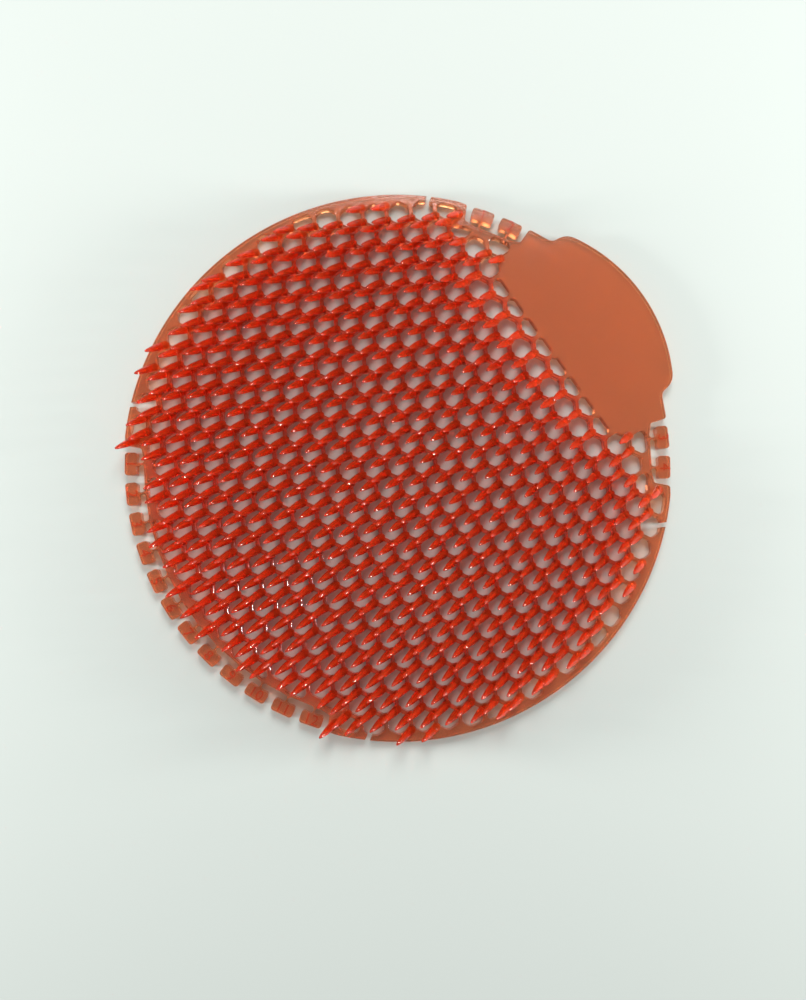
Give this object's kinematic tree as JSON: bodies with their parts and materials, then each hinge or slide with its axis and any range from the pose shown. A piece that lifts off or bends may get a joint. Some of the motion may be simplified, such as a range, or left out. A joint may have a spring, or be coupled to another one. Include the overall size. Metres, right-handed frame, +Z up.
{
  "type": "urinal deodorizer screen",
  "caption": "Flexible round urinal screen: a flat plate of hexagonal holes with slanted bristles on top, a plain leaf at one side and small tear-off tabs round its rim.",
  "frame": {"origin": "on the flat underside, below the middle of the moulding's length and width", "axes": "+Z up from the underside towards the bristles, +Y towards the leaf, +X to the right of it"},
  "size_m": [0.1788, 0.1878, 0.0118],
  "materials": {
    "vinyl": "soft glossy translucent"
  },
  "bodies": {
    "root": {"deodorizer_screen": "vinyl"}
  },
  "joints": []
}
